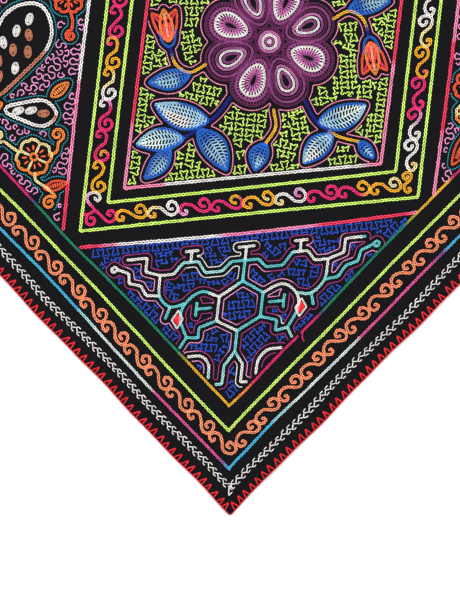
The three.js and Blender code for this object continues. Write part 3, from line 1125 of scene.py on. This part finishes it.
# The middle panel's plants, for its lower half in the photo. The upper half is half a turn of it.
PANEL_STEMS = [
    ([(-38, -54), (-52, -72), (-74, -88), (-98, -104)], runs((0, "navy"), (60, "mid blue"))),
    ([(34, -57), (46, -78), (66, -92), (88, -98)], runs((0, "navy"), (40, "yellow"))),
    ([(-62, -22), (-78, -30), (-92, -22), (-98, -4)], runs((0, "yellow"), (40, "navy"))),
    ([(4, -66), (6, -84), (-4, -100)], runs((0, "yellow"))),
]
PANEL_LEAVES = [
    ((-60, -78), (-112, -62), 12.0, "pale", 3.0),
    ((-84, -95), (-130, -101), 10.5, "sky", -2.0),
    ((-70, -86), (-42, -126), 11.5, "deep", 3.0),
    ((-98, -104), (-122, -134), 8.0, "deep", 2.0),
    ((48, -80), (94, -62), 11.5, "sky", -3.0),
    ((62, -91), (34, -119), 10.0, "pale", -2.0),
    ((88, -98), (102, -114), 5.0, "deep", 0.0),
    ((-78, -31), (-118, -40), 9.0, "deep", 2.0),
    ((-4, -100), (-14, -126), 8.5, "deep", -2.0),
]
PANEL_BUDS = [((-98, -4), (-104, 32), 11.0)]


def make_panel():
    motifs, thin = Stitching("panel_motifs"), Stitching("panel_ground")
    field = Field(rhombus(PANEL_EDGE))
    rosette(motifs, field)
    for turn in (1, -1):
        for points, colour in PANEL_STEMS:
            stem(motifs, field, np.array(points) * turn, colour)
        for base, tip, half_width, yarn, bend in PANEL_LEAVES:
            leaf(motifs, field, np.array(base) * turn, np.array(tip) * turn, half_width, yarn, bend)
        for base, tip, half_width in PANEL_BUDS:
            tulip(motifs, field, np.array(base) * turn, np.array(tip) * turn, half_width)
    outlines(thin, field, 4.7, 2.6, plain("soft pink"))
    ground = Ground(thin, field, plain("lime"), width=1.4, clearance=6.3, margin=3.2, leg=8.6, half=5.2,
                    ear=1.1, dip=1.4)
    ground.fill(spacing=52.0, angle=radians(-48), spread=0.25, pitch=10.8)
    return motifs, thin


# The lines of a corner panel's right half, in hundredths: across, and up from the corner. The left half
# mirrors them. A curve is a smooth line through its points.
NET_LINES = [
    ("line", [(0, 42), (13, 49), (13, 63), (0, 71)]),
    ("line", [(0, 71), (0, 83), (8, 83), (13, 78), (23, 78), (28, 85), (37, 85), (42, 79), (50, 79)]),
    ("line", [(0, 83), (0, 91)]),
    ("line", [(0, 91), (5, 91)]),
    ("line", [(32.5, 85), (32.5, 91)]),
    ("line", [(28.5, 91.5), (36.5, 91.5)]),
    ("curve", [(13, 63), (24, 67), (33, 61), (35, 52), (30, 41)]),
    ("line", [(13, 49), (23, 46), (23, 40), (30, 41), (33.5, 35)]),
    ("curve", [(33, 61), (42, 60), (49, 67), (50, 79)]),
    ("line", [(50, 79), (59, 82), (59, 90), (71, 90)]),
    ("line", [(49, 67), (57, 68), (61, 74), (68, 76), (69, 82), (76, 85)]),
    ("curve", [(78, 83.3), (79.8, 85), (78, 86.7), (76.2, 85), (78, 83.3)]),
    ("line", [(42, 60), (44, 53)]),
    ("line", [(17, 57), (26, 57)]),
    ("line", [(26, 53), (26, 61)]),
    ("line", [(0, 42), (0, 30), (5.5, 22), (5.5, 11.5), (9.5, 11.5)]),
    ("curve", [(14, 15.5), (15, 24), (20, 29), (28, 29.5)]),
]
NET_YARN = cycle([(0, "cyan"), (150, "white"), (290, "cyan"), (340, "aqua"), (400, "white")], 460)
THIN_YARN = cycle(
    [(0, "lilac"), (80, "purple"), (220, "white"), (320, "purple"), (430, "lilac"), (490, "purple")], 560)
NET_CORNER = (76.0, 78.5)
NET_SIDES = (261.0, 210.5)
NET_OUTLINE = [(0, 0), (99.5, 99.5), (-99.5, 99.5)]
LOZENGE = [(34.2, 52), (36.4, 48.2), (39.2, 52), (36.6, 56)]
LOZENGE_BARS, LOZENGE_RIM = 6, 1.35  # how many red bars fill it, and the size of its white outline


def net_point(points, mirror, turn):
    """Points in hundredths of a corner panel, in the cloth's plane."""
    across, up = np.moveaxis(np.asarray(points, float) / 100, -1, 0)
    across = across * mirror
    x = NET_CORNER[0] + NET_SIDES[0] * (up + across) / 2
    y = NET_CORNER[1] + NET_SIDES[1] * (up - across) / 2
    return turn * place(x, y)


def make_lozenge(piece, field, corners):
    share = np.linspace(0.12, 0.88, LOZENGE_BARS)[:, None]
    starts = corners[0] * (1 - share) + corners[3] * share
    ends = corners[1] * (1 - share) + corners[2] * share
    straight(piece, starts, ends, YARN["red"], width=1.6, rise=0.9)
    middle = corners.mean(0)
    for a, b in sides_of(corners):
        side = [middle + (a - middle) * LOZENGE_RIM, middle + (b - middle) * LOZENGE_RIM]
        chain(piece, side, plain("white"), width=1.9, pitch=2.4)
    field.solid(corners)


def make_net(turn, name):
    """A corner panel of stepped and curved lines, over a blue ground."""
    thick, thin = Stitching(name + "_net"), Stitching(name + "_ground")
    field = Field(net_point(np.array(NET_OUTLINE), 1, turn))
    used = 0.0
    for mirror in (1, -1):
        make_lozenge(thick, field, net_point(LOZENGE, mirror, turn))
        for kind, points in NET_LINES:
            if mirror < 0 and all(across == 0 for across, _ in points):
                continue
            line = net_point(points, mirror, turn)
            line = curve(line) if kind == "curve" else line
            for stretch in [line] if kind == "curve" else zip(line, line[1:]):
                used = chain(thick, stretch, NET_YARN, width=2.9, pitch=3.6, start=used)
            field.line(line)
    outlines(thin, field, 4.9, 1.6, THIN_YARN, width=1.15, pitch=2.2)
    ground = Ground(thin, field, plain("blue"), width=1.25, clearance=6.4, margin=1.8, leg=8.0, half=4.9,
                    ear=0.95, dip=1.2)
    ground.fill(spacing=46.0, angle=radians(-45), spread=0.25, pitch=10.3)
    return thick, thin


SPIRAL_TURNS, SPIRAL_START = 1.4, 1.2  # how often it winds, and the radius where it starts
LOBE_DEPTH = 0.18


def spiral(middle, radius, start_angle, way):
    """A spiral that ends at its start angle, a radius from its middle."""
    t = np.linspace(0, 1, 40)[:, None]
    angle = start_angle + way * SPIRAL_TURNS * tau * (1 - t)
    size = SPIRAL_START + (radius - SPIRAL_START) * t
    return np.array(middle) + size * np.hstack([np.cos(angle), np.sin(angle)])


def lobed(middle, radius, lobes, turn):
    """The outline of a flower whose lobes are notched in the middle, like hearts."""
    t = np.linspace(0, tau, 120, endpoint=False)
    swing = np.cos(lobes * (t - turn) / 2)
    notch = 0.13 * np.exp(-((1 - np.abs(swing)) / 0.02))
    size = radius * (1 - LOBE_DEPTH + LOBE_DEPTH * 1.5 * np.abs(swing) ** 0.7 - notch)
    return np.array(middle) + size[:, None] * np.stack([np.cos(t), np.sin(t)], -1)


def pod(piece, field, middle, long, wide, angle, spots, colour):
    """A dark pod with an outline of thick chain and oval seeds."""
    t = np.linspace(0, tau, 60, endpoint=False)
    x = long * np.cos(t)
    y = wide * np.sin(t) * (1 + 0.3 * np.cos(t)) * (1 - 0.12 * np.cos(3 * t))
    shape = picture(np.array(middle) + rotated(x, y, angle))
    chain(piece, shape, colour, width=3.8, pitch=3.8, closed=True)
    for x, y, tone in spots:
        at = np.array(middle) + rotated(x * long, y * wide, angle)
        lean = angle + random.uniform(0.1, 0.7)
        for size in (1.0, 0.42):
            chain(piece, picture(oval(at, 5.2 * size, 2.7 * size, lean)), plain(tone), width=2.3, pitch=2.4,
                  closed=True, rise=0.8)
    field.solid(shape)


def flower(piece, field, middle, radius, lobes, turn, tones):
    """A lobed flower with a small middle and short dashes in its lobes."""
    shape = picture(lobed(middle, radius, lobes, turn))
    size = Path(shape, closed=True).length
    chain(piece, shape, runs((0, tones[0]), (size * 0.5, tones[1])), width=3.0, pitch=3.2, closed=True)
    chain(piece, picture(oval(middle, radius * 0.2, radius * 0.2, 0)), plain(tones[1]), width=2.4, pitch=2.6,
          closed=True)
    middle = np.array(middle)
    starts, ends = [], []
    for lobe in range(lobes):
        angle = turn + tau * lobe / lobes
        for spread in (-0.28, 0.28):
            way = heading(angle + spread)
            starts.append(picture(middle + way * radius * 0.42))
            ends.append(picture(middle + way * radius * 0.72))
        way = heading(angle + pi / lobes)
        spoke = picture([middle + way * radius * 0.28, middle + way * radius * 0.8])
        chain(piece, spoke, plain(tones[0]), width=2.5, pitch=3.0)
    straight(piece, starts, ends, YARN["scarlet"], width=1.7, rise=0.8)
    field.solid(shape)


def tendril(piece, field, stalk, middle, start_angle, tones, radius, way):
    """A spiral that goes on as a stalk."""
    line = picture(np.vstack([spiral(middle, radius, start_angle, way), curve(stalk)]))
    size = Path(line).length
    chain(piece, line, runs((0, tones[0]), (size * 0.6, tones[1])), width=3.0, pitch=3.3)
    field.line(line)


def small_leaf(piece, field, base, tip, half_width, tone):
    """A leaf of one row round it and a few bars across."""
    middle, one, other = (picture(line) for line in leaf_shape(base, tip, half_width, 0))
    shape = np.vstack([one, other[::-1]])
    chain(piece, shape, plain(tone), width=2.3, pitch=2.7, closed=True)
    size = np.hypot(*(middle[-1] - middle[0]))
    share = np.linspace(0.2, 0.8, max(3, round(size / 3.2)))
    u = np.linspace(0, 1, len(one))
    left, right = (np.stack([np.interp(share, u, line[:, k]) for k in (0, 1)], -1) for line in (one, other))
    straight(piece, left * 0.75 + right * 0.25, right * 0.75 + left * 0.25, YARN[tone], width=1.5, rise=0.7)
    field.solid(shape)


# The left side panel in the photo, in the photo's directions. The right one is half a turn of it.
SIDE_CORNERS = [(75.2, 314.0), (75.2, 523.0), (338.0, 523.0)]
POD_YARN = cycle([(0, "white"), (110, "tan")], 190)
# Pods: middle, half length, half width, lean in degrees, and seeds as (along, across, tone) in shares of the
# halves
PODS = [
    ((-249, -8), 50, 23, 62,
     [(-0.62, 0.1, "tan"), (-0.35, 0.42, "tan"), (-0.32, -0.35, "white"), (-0.02, 0.1, "tan"),
      (0.02, 0.62, "white"), (0.08, -0.5, "tan"), (0.34, 0.35, "white"), (0.38, -0.2, "tan"),
      (0.66, 0.1, "white")]),
    ((-234, -69), 25, 11.0, -6, [(-0.5, 0, "white"), (0.0, 0.15, "white"), (0.5, 0, "tan")]),
]
# Flowers: middle, radius, lobes, lean in degrees, tones
FLOWERS = [
    ((-231, -113), 16.5, 4, 20, ("cream", "orange")),
    ((-197, 44), 15, 5, 90, ("scarlet", "scarlet")),
    ((-296, -36), 18, 5, 70, ("cream", "orange")),
    ((-192, 71), 9, 4, 45, ("cream", "orange")),
]
# Tendrils: stalk, the spiral's middle, the angle in degrees at which it ends, tones, radius, its way round
TENDRILS = [
    ([(-207, -99), (-209, -108), (-217, -111)], (-208, -91), -70, ("orange", "orange"), 7, 1),
    ([(-210, -151), (-219, -143), (-229, -136), (-230, -128)], (-216, -158), 40, ("orange", "cream"), 7, 1),
    ([(-260, -98), (-252, -104), (-246, -108)], (-266, -92), -60, ("cream", "cream"), 7, -1),
    ([(-194, 12), (-193, 20), (-195, 29)], (-195, 6), 80, ("scarlet", "scarlet"), 5.5, 1),
    ([(-222, 62), (-214, 58), (-210, 52)], (-226, 68), -50, ("orange", "scarlet"), 7, -1),
]
# Small leaves: base, tip, half width, tone
SMALL_LEAVES = [
    ((-221, -144), (-199, -138), 4.5, "scarlet"),
    ((-214, -54), (-197, -40), 4.5, "orange"),
    ((-200, 86), (-179, 121), 6.5, "scarlet"),
    ((-280, -14), (-278, 10), 5.0, "scarlet"),
    ((-244, 70), (-234, 46), 5.0, "cream"),
    ((-280, -70), (-262, -60), 5.0, "orange"),
]


def make_side(turn, name):
    """A side panel: dark pods, flowers and tendrils over a ground of lilac squiggles."""
    motifs, thin = Stitching(name + "_motifs"), Stitching(name + "_ground")
    field = Field(turn * place(*np.array(SIDE_CORNERS).T))
    spin = 0 if turn == 1 else pi

    def turned(points):
        return np.asarray(points, float) * turn

    for middle, long, wide, lean, seeds in PODS:
        pod(motifs, field, turned(middle), long, wide, radians(lean) + spin, seeds, POD_YARN)
    for middle, radius, lobes, lean, tones in FLOWERS:
        flower(motifs, field, turned(middle), radius, lobes, radians(lean) + spin, tones)
    for stalk, middle, lean, tones, radius, way in TENDRILS:
        tendril(motifs, field, turned(stalk), turned(middle), radians(lean) + spin, tones, radius, way)
    for base, tip, half_width, tone in SMALL_LEAVES:
        small_leaf(motifs, field, turned(base), turned(tip), half_width, tone)
    outlines(thin, field, 4.4, 2.2, plain("teal"), width=1.35, pitch=2.5, shape=DOT)
    ground = Ground(thin, field, plain("lilac"), width=1.45, clearance=6.1, margin=3.0, leg=8.2, half=4.9,
                    ear=0.65, dip=-1.0)
    ground.fill(spacing=40.0, angle=0.6, spread=0.5, pitch=11.6)
    return motifs, thin


CLOTH_COLUMNS, CLOTH_ROWS = 150, 130  # of the sheet's grid, within its band
FACE_SINK, PUCKER = 0.10, 0.09  # how far the cotton lies under the stitches' face, and how high it puckers


def make_cloth():
    """The cloth itself: a thin closed sheet whose edge waves and lifts a little."""
    fine_steps = [0.0, 0.35, 0.8, 2.4, 5.0, HEM_WIDTH, HEM_WIDTH + HEM_SLOPE, 13.0, 18.0, 22.0, BAND_WIDTH]

    def stops(size, count):
        middle = np.linspace(BAND_WIDTH, size - BAND_WIDTH, count)
        return np.r_[fine_steps[:-1], middle, size - np.array(fine_steps[:-1])[::-1]]

    x, y = np.meshgrid(stops(LENGTH, CLOTH_COLUMNS), stops(WIDTH, CLOTH_ROWS))
    inset = side_insets(x, y).min(-1)
    # The corners are rounded
    to_x, to_y = np.minimum(x, LENGTH - x), np.minimum(y, WIDTH - y)
    away = np.hypot(np.maximum(CORNER_RADIUS - to_x, 0), np.maximum(CORNER_RADIUS - to_y, 0))
    pull = np.where(away > CORNER_RADIUS, 1 - CORNER_RADIUS / np.maximum(away, 1e-9), 0)
    x = x + np.where(x < LENGTH / 2, 1, -1) * np.maximum(CORNER_RADIUS - to_x, 0) * pull
    y = y + np.where(y < WIDTH / 2, 1, -1) * np.maximum(CORNER_RADIUS - to_y, 0) * pull
    shift_x, shift_y, lift = rim_shift(x, y)
    flat = place(x, y) + np.stack([shift_x, shift_y], -1)
    puckers = (np.sin(x / 9.3 + 2 * np.sin(y / 31)) * np.sin(y / 11.1 + 2 * np.sin(x / 27))
               + 0.6 * np.sin(x / 4.1 + y / 5.7) * np.sin(y / 3.9 - x / 6.3))
    calm = np.clip(inset / BAND_WIDTH, 0, 1)
    top = hem_height(inset) + lift - FACE_SINK + PUCKER * puckers * calm
    rounding = np.interp(inset, [0.0, 0.35, 1.0], [HEM_THICKNESS / 2, 0.25, 0.0])
    under = rounding + lift + BAND_CLEARANCE * (1 - calm)
    rows, columns = x.shape
    vertices = np.vstack([np.concatenate([flat, z[..., None]], -1).reshape(-1, 3) for z in (top, under)])
    index = np.arange(rows * columns).reshape(rows, columns)
    a, b, c, d = index[:-1, :-1], index[:-1, 1:], index[1:, 1:], index[1:, :-1]
    top_faces = np.stack([a, b, c, d], -1).reshape(-1, 4)
    under_faces = top_faces[:, ::-1] + rows * columns
    # The top and the underside meet in the outline
    ring = np.r_[index[0, :-1], index[:-1, -1], index[-1, :0:-1], index[:0:-1, 0]]
    weld = np.arange(2 * rows * columns)
    weld[ring + rows * columns] = ring
    faces = weld[np.vstack([top_faces, under_faces])]
    return vertices, faces


def make_object(name, vertices, faces, material, colours=None, yarn=None):
    """An object of quads, with its yarn's colours and places as attributes."""
    used = np.unique(faces)
    lookup = np.full(len(vertices), -1)
    lookup[used] = np.arange(len(used))
    vertices, faces = vertices[used] * MM, lookup[faces]
    mesh = bpy.data.meshes.new(name)
    mesh.vertices.add(len(vertices))
    mesh.vertices.foreach_set("co", vertices.astype(np.float32).ravel())
    mesh.loops.add(faces.size)
    mesh.loops.foreach_set("vertex_index", faces.astype(np.int32).ravel())
    mesh.polygons.add(len(faces))
    mesh.polygons.foreach_set("loop_start", np.arange(0, faces.size, 4, dtype=np.int32))
    mesh.update(calc_edges=True)
    mesh.polygons.foreach_set("use_smooth", np.ones(len(faces), bool))
    if colours is not None:
        layer = mesh.color_attributes.new("thread", "FLOAT_COLOR", "POINT")
        rgba = np.ones((len(used), 4), np.float32)
        rgba[:, :3] = colours[used]
        layer.data.foreach_set("color", rgba.ravel())
        twist = mesh.attributes.new("yarn", "FLOAT_VECTOR", "POINT")
        place_on_yarn = np.zeros((len(used), 3), np.float32)
        place_on_yarn[:, :2] = yarn[used]
        twist.data.foreach_set("vector", place_on_yarn.ravel())
    mesh.validate()
    mesh.materials.append(material)
    made = bpy.data.objects.new(name, mesh)
    bpy.context.scene.collection.objects.link(made)
    return made


def set_sockets(tree, node, sockets):
    """Sets a node's inputs, by name or number, each to a value or to another node's output."""
    for key, value in sockets.items():
        if isinstance(value, bpy.types.NodeSocket):
            tree.links.new(value, node.inputs[key])
        else:
            node.inputs[key].default_value = value


def add_node(tree, kind, sockets, output=0, **settings):
    """Adds a node with its settings and inputs, and returns one of its outputs."""
    node = tree.nodes.new("ShaderNode" + kind)
    for name, value in settings.items():
        setattr(node, name, value)
    set_sockets(tree, node, sockets)
    return node.outputs[output]


def map_range(tree, value, source, target):
    return add_node(tree, "MapRange", {"Value": value, "From Min": source[0], "From Max": source[1],
                                       "To Min": target[0], "To Max": target[1]})


def new_material(name, roughness, specular, sheen=0.0, sheen_roughness=0.5):
    """A material, with its node tree and its shader."""
    material = bpy.data.materials.new(name)
    material.use_nodes = True
    tree = material.node_tree
    shader = tree.nodes["Principled BSDF"]
    set_sockets(tree, shader, {"Roughness": roughness, "Specular IOR Level": specular, "Sheen Weight": sheen,
                               "Sheen Roughness": sheen_roughness})
    return material, tree, shader


PLY_SLANT = (5.2, 1.9, 0.0)  # radians of the ply's ridges per millimetre of yarn, and per half of its width
BUMP_DISTANCE = 0.00012


def yarn_material():
    """Cotton yarn: its dyed colour with small changes, the ply's twist as ridges with painted shade in
    their grooves, and a soft sheen.
    """
    material, tree, shader = new_material("yarn", 0.72, 0.15, sheen=0.06)
    thread = add_node(tree, "Attribute", {}, "Color", attribute_name="thread")
    on_yarn = add_node(tree, "Attribute", {}, "Vector", attribute_name="yarn")
    slant = add_node(tree, "VectorMath", {0: on_yarn, 1: PLY_SLANT}, "Value", operation="DOT_PRODUCT")
    ply = add_node(tree, "Math", {0: slant}, operation="SINE")
    point = add_node(tree, "TexCoord", {}, "Object")
    fibres = add_node(tree, "TexNoise", {"Vector": point, "Scale": 2600.0, "Detail": 3.0}, "Fac")
    dye = add_node(tree, "TexNoise", {"Vector": point, "Scale": 190.0, "Detail": 2.0}, "Fac")
    tone = map_range(tree, dye, (0.25, 0.75), (0.92, 1.30))
    # painted shade: the thread's colour darkens in the grooves between the ply's ridges
    groove_shade = map_range(tree, ply, (-1.0, 0.2), (0.84, 1.0))
    dye_and_groove_shade = add_node(tree, "Math", {0: tone, 1: groove_shade}, operation="MULTIPLY")
    shaded_thread_colour = add_node(tree, "VectorMath", {0: thread, "Scale": dye_and_groove_shade}, operation="SCALE")
    relief = add_node(tree, "Math", {0: fibres, 1: 0.6, 2: ply}, operation="MULTIPLY_ADD")
    bump = add_node(tree, "Bump", {"Height": relief, "Strength": 0.5, "Distance": BUMP_DISTANCE})
    set_sockets(tree, shader, {"Base Color": shaded_thread_colour, "Normal": bump})
    return material


def cotton_material():
    """Black cotton in plain weave, with a faint bluish speckle of lint, and painted shade between the
    weave's threads, whose crowns are painted lighter.
    """
    material, tree, shader = new_material("black_cotton", 0.9, 0.03, sheen=0.004, sheen_roughness=0.6)
    point = add_node(tree, "TexCoord", {}, "Object")
    wave = {"Vector": point, "Scale": 560.0, "Distortion": 1.2, "Detail": 1.0, "Detail Scale": 0.6}
    warp, weft = (add_node(tree, "TexWave", wave, "Fac", bands_direction=axis) for axis in "XY")
    weave = add_node(tree, "Math", {0: warp, 1: weft}, operation="MAXIMUM")
    lint = add_node(tree, "TexNoise", {"Vector": point, "Scale": 900.0, "Detail": 4.0}, "Fac")
    # painted light and shade: the weave's crowns lighten the colour and the gaps between its threads darken
    # it; the lint noise is the cloth's own speckle
    lint_and_weave_shade = add_node(tree, "Math", {0: weave, 1: 0.5, 2: lint}, operation="MULTIPLY_ADD")
    colour = add_node(tree, "ValToRGB", {"Fac": lint_and_weave_shade})
    dark, light = colour.node.color_ramp.elements
    dark.position, dark.color = 0.58, (*linear((4, 4, 5)), 1)
    light.position, light.color = 1.0, (*linear((25, 24, 27)), 1)
    bump = add_node(tree, "Bump", {"Height": weave, "Strength": 0.45, "Distance": BUMP_DISTANCE})
    set_sockets(tree, shader, {"Base Color": colour, "Normal": bump})
    return material


def make_floor():
    material, tree, shader = new_material("floor", 0.9, 0.1)
    set_sockets(tree, shader, {"Base Color": (0.93, 0.93, 0.93, 1)})
    bpy.ops.mesh.primitive_plane_add(size=8.0, location=(0, 0, -0.0004))
    floor = bpy.context.object
    floor.name = "floor"
    floor.data.materials.append(material)


# The lamps, in metres: name, place to the photo's right and up, height, size and power
LAMPS = [("key", (-0.9, 1.1), 2.4, 2.4, 62.0), ("fill", (1.3, 0.2), 2.4, 2.4, 22.0)]


def make_lights():
    world = bpy.data.worlds.new("studio")
    bpy.context.scene.world = world
    world.use_nodes = True
    background = world.node_tree.nodes["Background"]
    set_sockets(world.node_tree, background, {"Color": (1, 1, 1, 1), "Strength": 0.72})
    for name, aside, height, size, power in LAMPS:
        lamp = bpy.data.lights.new(name, "AREA")
        lamp.size, lamp.energy = size, power
        holder = bpy.data.objects.new(name, lamp)
        holder.location = (*picture(aside), height)
        holder.rotation_euler = (-holder.location).to_track_quat("-Z", "Y").to_euler()
        bpy.context.scene.collection.objects.link(holder)


SENSOR = 36.0


def camera():
    """The photo's view, from straight above."""
    lens = bpy.data.cameras.new("camera")
    lens.sensor_width = SENSOR
    lens.lens = SENSOR * CAMERA_HEIGHT / (PICTURE_HEIGHT * MM)
    lens.clip_end = 50.0
    holder = bpy.data.objects.new("camera", lens)
    holder.location = (*picture(PICTURE_MIDDLE) * MM, CAMERA_HEIGHT)
    holder.rotation_euler = (0, 0, -PICTURE_TURN)
    bpy.context.scene.collection.objects.link(holder)
    bpy.context.scene.camera = holder


cotton, yarn_finish = cotton_material(), yarn_material()
cloth = make_object("cloth_sheet", *make_cloth(), cotton)
stitching = [
    make_border_rows(), make_border_scroll(), make_frame_rows(), make_frame_scroll(), make_feather_stitch(),
    make_edge_stitch(), *make_panel(), *make_net(1, "lower"), *make_net(-1, "upper"), *make_side(1, "left"),
    *make_side(-1, "right")]
made = []
for piece in stitching:
    vertices, faces, colours, yarn = (np.vstack(part) for part in (
        piece.vertices, piece.faces, piece.colours, piece.yarn))
    made.append(make_object(piece.name, lift_by_rim(vertices), faces, yarn_finish, colours, yarn))

for piece in (cloth, *made):
    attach(piece, "root")
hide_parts("cloth")
make_floor()
make_lights()
camera()
bpy.context.scene.view_settings.view_transform = "Standard"
